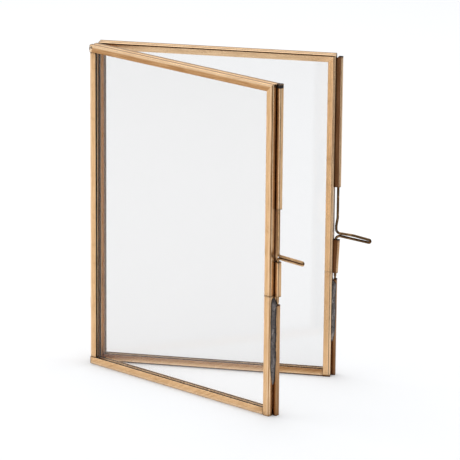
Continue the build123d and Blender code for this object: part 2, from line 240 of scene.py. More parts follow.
class FrameColours(bpy.types.PropertyGroup):
    """Colours of the finishes, linear."""

    brass: colour_setting("Brass", "Brushed faces of the channels", (0.80, 0.510, 0.270))
    # Worn brass is partly wear and partly the folds' painted highlight
    worn_and_sheen_brass: colour_setting("Worn Brass", "Rubbed folds and lips", (0.96, 0.73, 0.49))
    patina: colour_setting("Patina", "Brown tarnish in the brushed faces", (0.45, 0.225, 0.088))
    # The crevice colour is mostly painted shade, in the latch's gaps, on folds, along the floor, round the solder and
    # between the wire's strands, and in a few joints dark dirt
    crevice_dirt_and_shade: colour_setting("Crevice", "Black-brown dirt in the narrow gaps of the latch", (0.085, 0.026, 0.007))
    tarnish: colour_setting("Tarnish", "Inner faces that are never polished", (0.052, 0.022, 0.009))
    # The near bolt's paler wire and the far bolt's darker wire are one wire in painted light and painted shade; the
    # dark wire is also the pins' own colour
    lit_near_wire: colour_setting("Near Wire", "Paler wire of the near bolt", (0.62, 0.39, 0.20))
    dark_wire: colour_setting("Dark Wire", "Antique wire of the far bolt and the pins", (0.19, 0.112, 0.050))
    solder: colour_setting("Solder", "Dull lead-grey solder", (0.165, 0.146, 0.141))
    # The far panes' greyer tint than the near panes' is painted shade on the same glass
    near_glass: colour_setting("Near Glass", "Light that a near leaf's pane lets through", (0.987, 0.984, 0.981))
    shaded_far_glass: colour_setting("Far Glass", "Light that a far leaf's pane lets through", (0.930, 0.928, 0.926))
    ground_edge: colour_setting("Ground Edge", "Greener light in the ground edges of the glass", (0.62, 0.74, 0.70))
    floor: colour_setting("Floor", "Pale floor", (0.97, 0.97, 0.975))


def sizes():
    return bpy.context.scene.double_frame_sizes


def colours():
    return bpy.context.scene.double_frame_colours


# Places


def leaf_place(leaf):
    """Turn and shift that take a leaf's own frame to the row frame, as a 3 by 3 matrix and a vector.

    In the leaf's frame X runs from the spine to the free edge, Y from the front face to the rear face and Z up.
    The leaf's cover hinge axis lies at minus the hinge offset in X and at the cover axis depth in Y.
    """
    joint = next(joint for joint in frame["joints"] if joint["name"] == leaf + "_cover_hinge")
    turn = Matrix.Rotation(-sizes().open_angle if leaf == "near" else 0.0, 3, "Z")
    axis = Vector((-sizes().hinge_offset, sizes().cover_axis_depth, 0.0))
    return np.array(turn), np.array(Vector(joint["pos_m"]) - turn @ axis)


def to_row(leaf, points):
    """Points of a leaf's own frame in the row frame."""
    turn, shift = leaf_place(leaf)
    return points @ turn.T + shift


def leaf_box(leaf, piece):
    """Lowest and highest corner of a CAD node in its leaf's own frame."""
    mesh = frame["nodes"][f"{leaf}_{piece}"].data
    points = np.empty(3 * len(mesh.vertices), np.float32)
    mesh.vertices.foreach_get("co", points)
    turn, shift = leaf_place(leaf)
    local = (points.reshape(-1, 3) - shift) @ turn
    return local.min(0), local.max(0)


# Meshes


def ramp(values, low, high):
    """0 up to low, 1 from high, and a smooth rise between."""
    share = np.clip((values - low) / (high - low), 0.0, 1.0)
    return share * share * (3 - 2 * share)


def rise(values, low, high):
    """The ramp of a length between two places in mm."""
    return ramp(values / MM, low, high)


def band(values, low, full, fall, high):
    """0 up to low, 1 from full to fall and 0 again from high, all in mm."""
    return rise(values, low, full) * (1 - rise(values, fall, high))


def ripple(first, second, seed):
    """Smooth bumpy field between about -1 and 1: a sum of sines of two coordinates with seeded waves and phases."""
    rng = np.random.default_rng(seed)
    total = np.zeros(np.broadcast(first, second).shape)
    for octave in range(5):
        wave_first, wave_second = rng.uniform(0.7, 1.4, 2) * 1.7**octave
        phase_first, phase_second = rng.uniform(0.0, 6.28, 2)
        total += np.sin(wave_first * first + phase_first) * np.cos(wave_second * second + phase_second) / 1.5**octave
    return total / 2.2


def distances(points):
    """Distance of each point of a line from the first, along the line."""
    return np.concatenate([[0.0], np.cumsum(np.linalg.norm(np.diff(points, axis=0), axis=1))])


def grid_quads(rows, columns):
    """Quads of a grid of rows whose columns close on themselves."""
    row, column = np.meshgrid(np.arange(rows - 1), np.arange(columns), indexing="ij")
    here, right = row * columns + column, row * columns + (column + 1) % columns
    return np.stack([here, right, right + columns, here + columns], -1).reshape(-1, 4)


def strip_ends(rows, columns):
    """Quads that close both ends of a folded sheet, from each outer point to the inner point behind it."""
    outer = np.arange(columns // 2 - 1)
    inner = columns - 1 - outer
    first = np.stack([outer, inner, inner - 1, outer + 1], -1)
    last = first[:, ::-1] + (rows - 1) * columns
    return np.concatenate([first, last])


def fan_ends(rows, columns):
    """Triangles that close both ends of a tube on a middle point each, which follow the grid's own points."""
    here = np.arange(columns)
    following = (here + 1) % columns
    last_row, middle = (rows - 1) * columns, rows * columns
    first = np.stack([following, here, np.full(columns, middle)], -1)
    last = np.stack([here + last_row, following + last_row, np.full(columns, middle + 1)], -1)
    return np.concatenate([first, last])


def outward(points, faces):
    """Faces wound so that the closed surface holds a positive volume."""
    fan = [face[:, [0, corner, corner + 1]] for face in faces for corner in range(1, face.shape[1] - 1)]
    corners = points[np.concatenate(fan)]
    volume = np.einsum("ij,ij->", corners[:, 0], np.cross(corners[:, 1], corners[:, 2]))
    return faces if volume > 0 else [face[:, ::-1] for face in faces]


def make_piece(name, leaf, points, faces, uv, marks, material, node, added_slot=None):
    """Object from points in a leaf's frame, with a UV map in metres and point attributes.

    It rides on the node's body and stands for the node, which it hides, or, where added_slot is given, is added
    beside the node and leaves it shown.
    """
    placed = to_row(leaf, points)
    faces = outward(placed, faces)
    mesh = bpy.data.meshes.new(name)
    mesh.from_pydata(placed, [], [corners for face in faces for corners in face.tolist()])
    loops = np.concatenate([face.ravel() for face in faces])
    mesh.uv_layers.new(name="along_across").data.foreach_set("uv", uv[loops].astype(np.float32).ravel())
    for mark, values in marks.items():
        mesh.attributes.new(mark, "FLOAT", "POINT").data.foreach_set("value", values.astype(np.float32).ravel())
    mesh.polygons.foreach_set("use_smooth", np.ones(len(mesh.polygons), bool))
    mesh.set_sharp_from_angle(angle=SHARP_EDGE)
    mesh.update()
    piece = bpy.data.objects.new(name, mesh)
    bpy.context.scene.collection.objects.link(piece)
    mesh.materials.append(material)
    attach(piece, frame["nodes"][node]["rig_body"])
    if added_slot is None:
        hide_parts(node)
    return piece


def sheet_profile(face, depth, sheet):
    """Closed section of a folded channel, as depth inwards and place across, with its marks.

    The outer line runs from the front lip along a flange, round a quarter circle, across the web, round a tighter
    quarter circle and back along the rear flange. The inner line is the outer line moved in by the sheet's thickness,
    run backwards. The mark of wear, which also paints the folds' highlight, is 1 where a fold starts and ends, and
    less on its middle, beside it and on the lips.
    The inside mark is 1 on the inner line.
    """
    bevel, half = sizes().lip_bevel, depth / 2
    turn = np.linspace(0.0, np.pi / 2, FOLD_POINTS)
    web = np.linspace(0.0, 1.0, WEB_POINTS)[1:-1, None]

    def side_line(inset, radius):
        """Flange and fold, as depth inwards and distance from the section's side."""
        width = min(WEAR_WIDTH, (face - radius) / 4)
        flat = radius + FLANGE_SHARES * (face - radius)
        steps = np.concatenate([[face - bevel, face - width], flat, radius + WEAR_SHARES * width])
        middle = max(radius, inset + TIGHTEST_FOLD)
        fold = middle - inset
        lip = np.array([[face, bevel if inset == 0 else inset - bevel]])
        flange = np.stack([steps, np.full(len(steps), inset)], -1)
        arc = np.stack([middle - fold * np.sin(turn), middle - fold * np.cos(turn)], -1)
        return np.concatenate([lip, flange, arc])

    def line(inset):
        front = side_line(inset, sizes().front_fold) - [0.0, half]
        rear = side_line(inset, sizes().rear_fold)[::-1] * [1.0, -1.0] + [0.0, half]
        return np.concatenate([front, front[-1] + web * (rear[0] - front[-1]), rear])

    outer, inner = line(0.0), line(sheet)
    # Wear by the folds and lips, which also stands for the folds' painted highlight
    side_worn_and_sheen = np.concatenate([FLANGE_WEAR_AND_SHEEN, 0.35 + 0.65 * np.abs(np.cos(2 * turn))])
    worn_and_sheen = np.concatenate([side_worn_and_sheen, np.zeros(len(web)), side_worn_and_sheen[::-1], np.zeros(len(inner))])
    inside = np.repeat((0.0, 1.0), (len(outer), len(inner)))
    inside[[len(outer), -1]] = 0.0
    return np.concatenate([outer, inner[::-1]]), worn_and_sheen, inside


def channel(leaf, piece, run, size, end_trim, material, seed, dirt_and_shade, clean_end=False):
    """Folded channel: a closed section carried in a straight line from start to end, both on the web's outer face.

    A point is start + along * u + inward * d + Y * w, where u is shortened at the far end by the trim given for the
    depth d, which cuts a mitre or a notch. Seeded ripples press the outer faces in by up to the dent depth. The
    dirt and shade function of the height, d and w gives two marks: brown, which is grime in places and painted shade
    in others, and dark, which is mostly painted shade in gaps, on folds and along the floor and in a few joints dark
    dirt. Brown below 0 is a rubbed place. A clean end, which runs on round a corner, has no seam. The size is the
    section's face, depth and sheet.
    """
    start, end, inward = run
    length = np.linalg.norm(end - start)
    along = (end - start) / length
    section, worn_and_sheen, inside = sheet_profile(*size)
    close = END_ROWS / length
    between = np.linspace(END_REACH / length, 1 - END_REACH / length, max(int(length / ROW_STEP), 3))
    share = np.concatenate([close, between, 1 - close[::-1]])[:, None]
    d, w = section[None, :, 0], section[None, :, 1]
    u = share * (length - end_trim(section[:, 0])[None, :])
    dents = ripple(u / DENT_ALONG, d / DENT_INWARDS + w / DENT_ACROSS, seed)
    press = sizes().dent_depth * (0.5 + 0.5 * dents) * (1 - inside)
    fold = np.where(w < 0, sizes().front_fold, sizes().rear_fold)
    d_pressed = d + press * (d < fold)
    w_pressed = w - np.sign(w) * press * (d >= fold)
    points = start + u[..., None] * along + d_pressed[..., None] * inward + w_pressed[..., None] * AXIS_Y
    uv = np.stack(np.broadcast_arrays(u + seed * STROKE_SHIFT, distances(section)[None, :]), -1)
    end_distance = u if clean_end else np.minimum(u, u.max(0, keepdims=True) - u)
    # Brown and dark marks from the dirt and shade function: grime, dark joints and painted shade
    grime_and_shade, crevice_dirt_and_shade = dirt_and_shade(start[2] + u * along[2], d, w)
    marks = {
        "worn_and_sheen": np.maximum(worn_and_sheen, -grime_and_shade),
        "inside": inside,
        "joint": np.exp(-end_distance / STAIN_FADE),
        "seam": np.exp(-end_distance / SEAM_FADE),
        "grime_and_shade": np.maximum(grime_and_shade, 0.0),
        "crevice_dirt_and_shade": crevice_dirt_and_shade,
    }
    marks = {mark: np.broadcast_to(values, u.shape) for mark, values in marks.items()}
    faces = [grid_quads(*u.shape), strip_ends(*u.shape)]
    node = f"{leaf}_{piece}"
    points, uv = points.reshape(-1, 3), uv.reshape(-1, 2)
    return make_piece(node + "_visual", leaf, points, faces, uv, marks, material, node)


def channel_run(low, high, side):
    """Start, end and inward direction of a channel in its box, along the middle of the web on the named side."""
    y = (low[1] + high[1]) / 2
    if side in ("top", "bottom"):
        z = high[2] if side == "top" else low[2]
        return np.array((low[0], y, z)), np.array((high[0], y, z)), -AXIS_Z if side == "top" else AXIS_Z
    x = high[0] if side == "free" else low[0]
    return np.array((x, y, low[2])), np.array((x, y, high[2])), -AXIS_X if side == "free" else AXIS_X


def untrimmed(depths):
    """Trim of a square end."""
    return np.zeros_like(depths)


def tube(name, leaf, rows, material, marks, node, added_slot=None):
    """Closed skin over rows of points, each row a loop, with both ends closed on their middles."""
    count, columns = rows.shape[:2]
    points = np.concatenate([rows.reshape(-1, 3), [rows[0].mean(0), rows[-1].mean(0)]])
    along, across = distances(rows.mean(1)), distances(rows[count // 2])
    uv = np.stack(np.broadcast_arrays(along[:, None], across[None, :]), -1).reshape(-1, 2)
    uv = np.concatenate([uv, [[along[0], 0.0], [along[-1], 0.0]]])
    marks = {mark: np.append(values, (values.flat[0], values.flat[-1])) for mark, values in marks.items()}
    faces = [grid_quads(count, columns), fan_ends(count, columns)]
    return make_piece(name, leaf, points, faces, uv, marks, material, node, added_slot)


def rounded_line(corners, step):
    """Points at even steps along a line of straight runs whose corners are rounded by arcs.

    An arc of radius r starts r * tan(half the turn) before its corner. Its points are the corner's arc middle plus
    the turned radius, for even shares of the turn.
    """
    places, radii = corners[:, :2], corners[:, 2]
    pieces = [places[:1]]
    for before, corner, after, radius in zip(places[:-2], places[1:-1], places[2:], radii[1:-1]):
        incoming = (corner - before) / np.linalg.norm(corner - before)
        outgoing = (after - corner) / np.linalg.norm(after - corner)
        turn = np.arctan2(incoming[0] * outgoing[1] - incoming[1] * outgoing[0], incoming @ outgoing)
        side = np.sign(turn) * np.array((-incoming[1], incoming[0]))
        first = corner - incoming * radius * np.tan(abs(turn) / 2)
        swept = np.linspace(0.0, abs(turn), BEND_POINTS)[:, None]
        pieces.append(first + radius * (np.sin(swept) * incoming + (1 - np.cos(swept)) * side))
    line = np.concatenate([*pieces, places[-1:]])
    run = distances(line)
    even = np.linspace(0.0, run[-1], int(run[-1] / step))
    return np.stack([np.interp(even, run, line[:, 0]), np.interp(even, run, line[:, 1])], -1)


# Dirt and painted shade: the brown and dark marks of a channel, from the height, the depth d in from its web and
# the place w across


def no_dirt(height, d, w):
    """Clean all over."""
    return np.zeros_like(d), np.zeros_like(d)


def upright_dirt(height, d, w):
    """Brown on a free upright's web that thickens towards the gap, and a smudge where the bolt's handle rubs."""
    web = 1 - rise(d, 0.3, 0.7)
    smudge = np.exp(-(((height / MM - SMUDGE_HEIGHT) / SMUDGE_WIDTH) ** 2)) * rise(w, -0.6, 0.6) * web
    return np.maximum(0.65 * rise(w, -0.4, 1.5) * web, smudge), 0.35 * smudge


def near_upright_dirt_and_shade(height, d, w):
    """As upright_dirt, with painted shade as a dark line on the front fold."""
    grime_and_shade, crevice_dirt_and_shade = upright_dirt(height, d, w)
    fold = band(d, 0.02, 0.12, 0.7, 0.85) * (w < 0)
    return np.maximum(grime_and_shade, 0.9 * fold), np.maximum(crevice_dirt_and_shade, 0.12 * fold)


def far_upright_dirt_and_shade(height, d, w):
    """As upright_dirt, with painted shade as a dark line beside the front fold and painted contact shadow by the
    floor.
    """
    grime_and_shade, crevice_dirt_and_shade = upright_dirt(height, d, w)
    line = band(d, 0.80, 0.90, 1.12, 1.18) * (w < 0)
    foot = 0.95 * (1 - rise(height, 0.6, 1.1))
    return np.maximum(grime_and_shade, 0.8 * line), np.maximum(np.maximum(crevice_dirt_and_shade, 0.85 * line), foot)


def top_dirt_and_shade(height, d, w):
    """Painted shade on the lower part of a top rail's faces, and brown along the middle of its top."""
    return rise(d, 1.0, 1.9) + 0.35 * (1 - rise(d, 0.1, 0.4)), np.zeros_like(d)


def far_top_shade_and_wear(height, d, w):
    """Painted shade as a dark line along the far front top rail just below its fold, and a rubbed face below that."""
    return -0.6 * rise(d, 1.0, 1.3), band(d, 0.3, 0.55, 0.85, 1.15) * (w < 0)


def rear_spine_shade(height, d, w):
    """Painted shade on the front faces of the rear spine channels, except for a stripe along the middle of each."""
    dark = (1 - band(d, 0.9, 1.3, 2.2, 2.7)) * (w < 0)
    return 0.7 * dark, 0.75 * dark


def near_spine_dirt(height, d, w):
    """Dark joint where the near front spine channel stands on the bottom rail."""
    return np.zeros_like(d), 0.9 * (1 - rise(height - height.min(), 0.3, 0.8))


def far_spine_shade_and_wear(height, d, w):
    """Painted shade on the far front spine channel's faces on both sides of a rubbed stripe near the lip."""
    sides = np.maximum(rise(d, 3.05, 3.5), 1 - rise(d, 1.95, 3.0))
    return 1.8 * sides - 0.9, 0.3 * sides


def far_foot_dirt_and_shadow(height, d, w):
    """Brown far bottom rail faces above a rubbed line, with a painted dark line of contact shadow along the floor."""
    above = rise(d, 1.8, 2.1)
    return 0.95 * above, 0.95 * (1 - rise(d, 0.65, 0.85)) + 0.3 * above


def guide_dirt_and_shade(height, d, w, clear, grime_and_shade):
    """Even grime, and painted shade on the flange behind the front panel except for a clear strip by the fold."""
    return np.full_like(d, grime_and_shade), 0.9 * rise(d, clear, clear + 0.5) * (w < 0)


def keeper_dirt_and_shade(height, d, w, mouth, grime_and_shade):
    """Brown grime, darker towards the floor, and painted shade on the front flange by the solder and round the mouth.
    """
    lip = rise(height, mouth - 0.75, mouth - 0.35)
    flange = rise(d, 0.8, 1.3) * (w < 0)
    foot = 1 - rise(height, 5, 45)
    stain = 0.45 * grime_and_shade + 0.35 * foot
    return np.minimum(0.4 + grime_and_shade + 0.4 * foot, 1.0), np.maximum(0.95 * np.maximum(lip, flange), stain)


def near_strip_shade(height, d, w):
    """Painted shade on the faces, and a web painted much lighter, which stands beside the wire."""
    return np.full_like(d, 0.4), 0.15 + 0.85 * rise(d, 0.02, 0.2)


def far_strip_shade(height, d, w):
    """Painted shade all round."""
    return np.full_like(d, 0.6), np.full_like(d, 0.85)


# Each plain channel of a leaf: the side that its web is on, whether it is mitred at the free top corner, and the dirt
# and painted shade of the near and of the far leaf's
CHANNELS = {
    "front_top_channel": ("top", True, top_dirt_and_shade, far_top_shade_and_wear),
    "front_free_upper_channel": ("free", True, near_upright_dirt_and_shade, far_upright_dirt_and_shade),
    "front_free_lower_channel": ("free", False, near_upright_dirt_and_shade, far_upright_dirt_and_shade),
    "front_bottom_channel": ("bottom", False, no_dirt, far_foot_dirt_and_shadow),
    "front_spine_channel": ("spine", False, near_spine_dirt, far_spine_shade_and_wear),
    "rear_top_channel": ("top", False, top_dirt_and_shade, top_dirt_and_shade),
    "rear_bottom_channel": ("bottom", False, no_dirt, no_dirt),
    "rear_spine_channel": ("spine", False, rear_spine_shade, rear_spine_shade),
}
STRIPS = ("rear_lower_strip", "rear_window_strip")


# Finishes


def with_alpha(tone):
    """A colour of three values with its alpha, as sockets take it. A socket stays as it is."""
    return tone if isinstance(tone, bpy.types.NodeSocket) else (*tone, 1.0)


class Shading:
    """Shader nodes of one material or world."""

    def __init__(self, owner):
        owner.use_nodes = True
        self.owner = owner
        self.tree = owner.node_tree
        self.tree.nodes.clear()

    def add(self, kind, inputs=None, **settings):
        """Outputs of a new node with its settings, and with its inputs set to values or linked to sockets."""
        node = self.tree.nodes.new("ShaderNode" + kind)
        for key, value in settings.items():
            setattr(node, key, value)
        for key, value in (inputs or {}).items():
            if isinstance(value, bpy.types.NodeSocket):
                self.tree.links.new(value, node.inputs[key])
            else:
                node.inputs[key].default_value = value
        return node.outputs

    def place(self):
        """Object coordinates."""
        return self.add("TexCoord")["Object"]

    def mapped(self, vector, **inputs):
        """The vector turned by the Rotation or stretched by the Scale given."""
        return self.add("Mapping", {"Vector": vector, **inputs})["Vector"]

    def mark(self, name):
        """One of the piece's own point attributes."""
        return self.add("Attribute", attribute_name=name)["Fac"]

    def noise(self, vector, scale, detail, roughness=0.55, distortion=0.0):
        """Fractal noise of a vector."""
        inputs = {"Vector": vector, "Scale": scale, "Detail": detail, "Roughness": roughness, "Distortion": distortion}
        return self.add("TexNoise", inputs)["Fac"]

    def remap(self, value, low, high, to_low=0.0, to_high=1.0):
        """Smooth step from to_low to to_high as the value goes from low to high."""
        inputs = {"Value": value, "From Min": low, "From Max": high, "To Min": to_low, "To Max": to_high}
        return self.add("MapRange", inputs, interpolation_type="SMOOTHSTEP")["Result"]

    def math(self, operation, first, second, **settings):
        return self.add("Math", {0: first, 1: second}, operation=operation, **settings)[0]

    def times(self, first, second):
        return self.math("MULTIPLY", first, second)

    def coats(self, tone, *coats):
        """A base colour under coats, each given by its share and its colour."""
        for share, coat in coats:
            inputs = {0: share, 6: with_alpha(tone), 7: with_alpha(coat)}
            tone = self.add("Mix", inputs, data_type="RGBA", blend_type="MIX")[2]
        return tone

    def mix_shader(self, share, first, second):
        return self.add("MixShader", {0: share, 1: first, 2: second})[0]

    def finish(self, shader):
        """The material, with its surface."""
        self.add("OutputMaterial", {"Surface": shader})
        return self.owner

    def finish_metal(self, tone, rough, height, strength, distance, metallic=1.0):
        """The material as metal, with a relief of the strength and distance given."""
        relief = self.add("Bump", {"Strength": strength, "Distance": distance, "Height": height})["Normal"]
        inputs = {"Base Color": tone, "Metallic": metallic, "Roughness": rough, "Normal": relief}
        return self.finish(self.add("BsdfPrincipled", inputs)[0])


def brushed_brass(name, darkness, stroke_turn=0.0, seam=0.85):
    """Brushed antique brass on folded sheet.

    Strokes are noise stretched along the UV map's first axis after a turn. Tarnish gathers in a slow noise on Object
    coordinates, round the joints and on the inner faces. Brown grime and painted shade go where their marks say, and
    the folds are rubbed bright along both sides, which also paints their highlight.
    """
    tones = colours()
    shading = Shading(bpy.data.materials.new(name))
    place = shading.place()
    turned = shading.mapped(shading.add("UVMap", uv_map="along_across")["UV"], Rotation=(0.0, 0.0, stroke_turn))
    strokes = shading.noise(shading.mapped(turned, Scale=STROKE_STRETCH), scale=1.0, detail=5.0, roughness=0.6)
    clouds = shading.noise(place, scale=75.0, detail=6.0, roughness=0.6, distortion=0.8)
    specks = shading.noise(place, scale=900.0, detail=3.0, roughness=0.5)
    finished = shading.coats(
        tones.brass,
        (shading.remap(strokes, 0.38, 0.72, 0.0, 0.35 + darkness), tones.patina),
        (shading.remap(clouds, 0.50, 0.78, 0.0, 0.55), tones.patina),
        # Wear on the folds, which also paints their highlight
        (shading.times(shading.mark("worn_and_sheen"), shading.remap(strokes, 0.25, 0.6, 0.9, 0.55)), tones.worn_and_sheen_brass),
        (shading.times(shading.mark("grime_and_shade"), shading.remap(strokes, 0.3, 0.65, 0.55, 1.0)), tones.patina),
        (shading.times(shading.mark("joint"), shading.remap(specks, 0.4, 0.75, 0.0, 0.45)), tones.tarnish),
        (shading.times(shading.mark("seam"), seam), tones.tarnish),
        # Dark painted shade in gaps, on folds and along the floor, and dark dirt in a few joints
        (shading.mark("crevice_dirt_and_shade"), tones.crevice_dirt_and_shade),
        (shading.mark("inside"), tones.tarnish),
    )
    rough = shading.remap(strokes, 0.3, 0.7, 0.22, 0.36)
    return shading.finish_metal(finished, rough, height=strokes, strength=0.25, distance=0.05 * MM)


def antique_wire(name, base):
    """Antique wire with paler rubbed patches from two noises on Object coordinates, and painted shade between its
    strands.
    """
    tones = colours()
    shading = Shading(bpy.data.materials.new(name))
    place = shading.place()
    patches = shading.noise(place, scale=160.0, detail=5.0, roughness=0.6, distortion=0.5)
    grain = shading.noise(place, scale=1800.0, detail=3.0)
    finished = shading.coats(
        base,
        (shading.remap(patches, 0.48, 0.75, 0.0, 0.7), tones.brass),
        (shading.remap(grain, 0.4, 0.75, 0.0, 0.5), tones.tarnish),
        # Painted shade where the handle's strands face each other
        (shading.mark("crevice_dirt_and_shade"), tones.crevice_dirt_and_shade),
    )
    rough = shading.remap(patches, 0.3, 0.7, 0.42, 0.28)
    return shading.finish_metal(finished, rough, height=grain, strength=0.2, distance=0.03 * MM)


def hinge_brass(name):
    """Darkened brass of the knuckles and straps: file marks and tarnish from noises on Object coordinates."""
    tones = colours()
    shading = Shading(bpy.data.materials.new(name))
    place = shading.place()
    marks = shading.noise(shading.mapped(place, Scale=FILE_STRETCH), scale=1500.0, detail=4.0, roughness=0.6)
    clouds = shading.noise(place, scale=220.0, detail=5.0, roughness=0.6, distortion=0.6)
    finished = shading.coats(
        tones.brass,
        (shading.remap(marks, 0.35, 0.7), tones.patina),
        (shading.remap(clouds, 0.45, 0.75, 0.0, 0.8), tones.tarnish),
    )
    rough = shading.remap(clouds, 0.3, 0.7, 0.32, 0.5)
    return shading.finish_metal(finished, rough, height=marks, strength=0.3, distance=0.04 * MM)


def dull_solder(name, shade):
    """Rough grey solder with pale streaks along the seam, dark pits and painted shade on its rim where the mark says.

    The streaks and pits are noises on Object coordinates.
    """
    shading = Shading(bpy.data.materials.new(name))
    place = shading.place()
    stretched = shading.mapped(place, Scale=STREAK_STRETCH)
    streaks = shading.noise(stretched, scale=900.0, detail=4.0, roughness=0.6, distortion=0.4)
    pits = shading.noise(place, scale=1400.0, detail=5.0, roughness=0.65)
    plain, pale, dark = (tuple(shade * part * value for value in colours().solder) for part in SOLDER_SHADES)
    finished = shading.coats(
        plain,
        (shading.remap(streaks, 0.50, 0.72), pale),
        (shading.remap(pits, 0.52, 0.68), dark),
        # Painted shade along the solder's edges
        (shading.times(shading.mark("rim_shade"), 0.85), dark),
    )
    height = shading.math("SUBTRACT", streaks, pits)
    rough = shading.remap(pits, 0.3, 0.7, 0.38, 0.62)
    return shading.finish_metal(finished, rough, height, strength=0.6, distance=0.12 * MM, metallic=0.75)


def washed_solder(name):
    """Solder under the brass finish, rubbed on its crown, with painted black shade round the rim that the mark gives.
    """
    tones = colours()
    shading = Shading(bpy.data.materials.new(name))
    specks = shading.noise(shading.place(), scale=1100.0, detail=4.0, roughness=0.6)
    finished = shading.coats(
        tones.worn_and_sheen_brass,
        (shading.remap(specks, 0.45, 0.75), tones.patina),
        # Painted shade round the rim
        (shading.times(shading.mark("rim_shade"), 0.95), tones.crevice_dirt_and_shade),
    )
    rough = shading.remap(specks, 0.3, 0.7, 0.28, 0.45)
    return shading.finish_metal(finished, rough, height=specks, strength=0.4, distance=0.08 * MM)


def clear_glass(name, tint):
    """Float glass: faint wiping haze in the roughness from a slow noise, greener in the ground edge."""
    shading = Shading(bpy.data.materials.new(name))
    haze = shading.noise(shading.place(), scale=30.0, detail=4.0, roughness=0.6, distortion=1.2)
    edge = shading.mark("edge")
    inputs = {
        "Base Color": shading.coats(tint, (edge, colours().ground_edge)),
        "Roughness": shading.math("ADD", shading.times(edge, 0.35), shading.remap(haze, 0.45, 0.8, 0.0, 0.012)),
        "IOR": GLASS_IOR,
        "Transmission Weight": 1.0,
    }
    return shading.finish(shading.add("BsdfPrincipled", inputs)[0])


class DOUBLEFRAME_OT_channels(bpy.types.Operator):
    """Folds the plain brass channels round the panes of both leaves"""

    bl_idname = "double_frame.channels"
    bl_label = "Brass Channels"

    def execute(self, context):
        finishes = {
            # The far leaf's upright and top rail copies have fewer patina strokes, so they render paler: painted light
            # on the same brass as the near leaf's
            "near upright": brushed_brass("brass_near_upright", darkness=0.05),
            "far upright": brushed_brass("brass_far_upright", darkness=-0.2, seam=0.4),
            "near top": brushed_brass("brass_near_top_rail", darkness=0.1),
            "far top": brushed_brass("brass_far_top_rail", darkness=-0.25),
        }
        bottom = brushed_brass("brass_bottom_rail", darkness=0.12, stroke_turn=radians(24))
        finishes.update({"near bottom": bottom, "far bottom": bottom})
        seed = 0
        for leaf in LEAVES:
            for piece, (side, mitred, near_dirt_and_shade, far_dirt_and_shade) in CHANNELS.items():
                low, high = leaf_box(leaf, piece)
                high[1] += sizes().gap_reach if side == "free" else 0.0
                level = side in ("top", "bottom")
                face = high[2] - low[2] if level else high[0] - low[0]
                size = (face, high[1] - low[1], sizes().channel_sheet)
                brass = finishes[f"{leaf} {side if level else 'upright'}"]
                dirt_and_shade = near_dirt_and_shade if leaf == "near" else far_dirt_and_shade
                trim = np.copy if mitred else untrimmed
                seed += 1
                channel(leaf, piece, channel_run(low, high, side), size, trim, brass, seed, dirt_and_shade, mitred)
        return {"FINISHED"}


class DOUBLEFRAME_OT_guides(bpy.types.Operator):
    """Folds the bolt guides, the keepers and the strips along the free edges"""

    bl_idname = "double_frame.guides"
    bl_label = "Bolt Guides and Keepers"

    def execute(self, context):
        brass = brushed_brass("brass_guide", darkness=0.25)
        lower_finishes = {"near": brass, "far": brushed_brass("brass_far_keeper", darkness=0.6)}
        # The strips are dark with painted shade, standing in the shaded gap behind the front panel
        dark = brushed_brass("brass_strip_painted_shade", darkness=0.6)
        sheet = sizes().guide_sheet
        for seed, leaf in enumerate(LEAVES, 40):
            lower_brass = lower_finishes[leaf]
            clear, grime_and_shade = LATCH_DIRT_AND_SHADE[leaf]
            low, high = leaf_box(leaf, "upper_bolt_guide")
            size = (high[0] - low[0], high[1] - low[1], sheet)
            run = channel_run(low, high, "free")
            dirt_and_shade = partial(guide_dirt_and_shade, clear=clear, grime_and_shade=UPPER_GUIDE_GRIME)
            channel(leaf, "upper_bolt_guide", run, size, self.notch(leaf, high), brass, seed, dirt_and_shade)
            run = self.short_guide_run(leaf, size[0])
            dirt_and_shade = partial(guide_dirt_and_shade, clear=clear, grime_and_shade=grime_and_shade)
            channel(leaf, "short_bolt_guide", run, size, untrimmed, lower_brass, seed + 10, dirt_and_shade)
            low, high = leaf_box(leaf, "keeper")
            size = (high[0] - low[0], size[1], sheet)
            run = channel_run(low, high, "free")
            dirt_and_shade = partial(keeper_dirt_and_shade, mouth=high[2] / MM, grime_and_shade=grime_and_shade)
            channel(leaf, "keeper", run, size, untrimmed, lower_brass, seed + 20, dirt_and_shade)
            dirt_and_shade = near_strip_shade if leaf == "near" else far_strip_shade
            for strip in STRIPS:
                low, high = leaf_box(leaf, strip)
                high[0] += sizes().strip_reach if strip == "rear_window_strip" else 0.0
                size = (high[0] - low[0], size[1], sheet)
                channel(leaf, strip, channel_run(low, high, "free"), size, untrimmed, dark, seed + 30, dirt_and_shade)
        return {"FINISHED"}

    def notch(self, leaf, high):
        """Trim that cuts the inner part of a guide's top short below the rear top channel."""
        top_low, top_high = leaf_box(leaf, "rear_top_channel")
        return lambda depths: np.where(depths > high[0] - top_high[0], high[2] - top_low[2], 0.0)

    def short_guide_run(self, leaf, face):
        """Run of the short guide, which on the far leaf leans outwards in its box."""
        low, high = leaf_box(leaf, "short_bolt_guide")
        lean = sizes().far_guide_lean if leaf == "far" else 0.0
        run = (high[2] - low[2] - face * sin(lean)) / cos(lean)
        along = np.array((sin(lean), 0.0, cos(lean)))
        inward = np.array((-cos(lean), 0.0, sin(lean)))
        end = np.array((high[0], (low[1] + high[1]) / 2, low[2] + run * cos(lean)))
        return end - run * along, end, inward


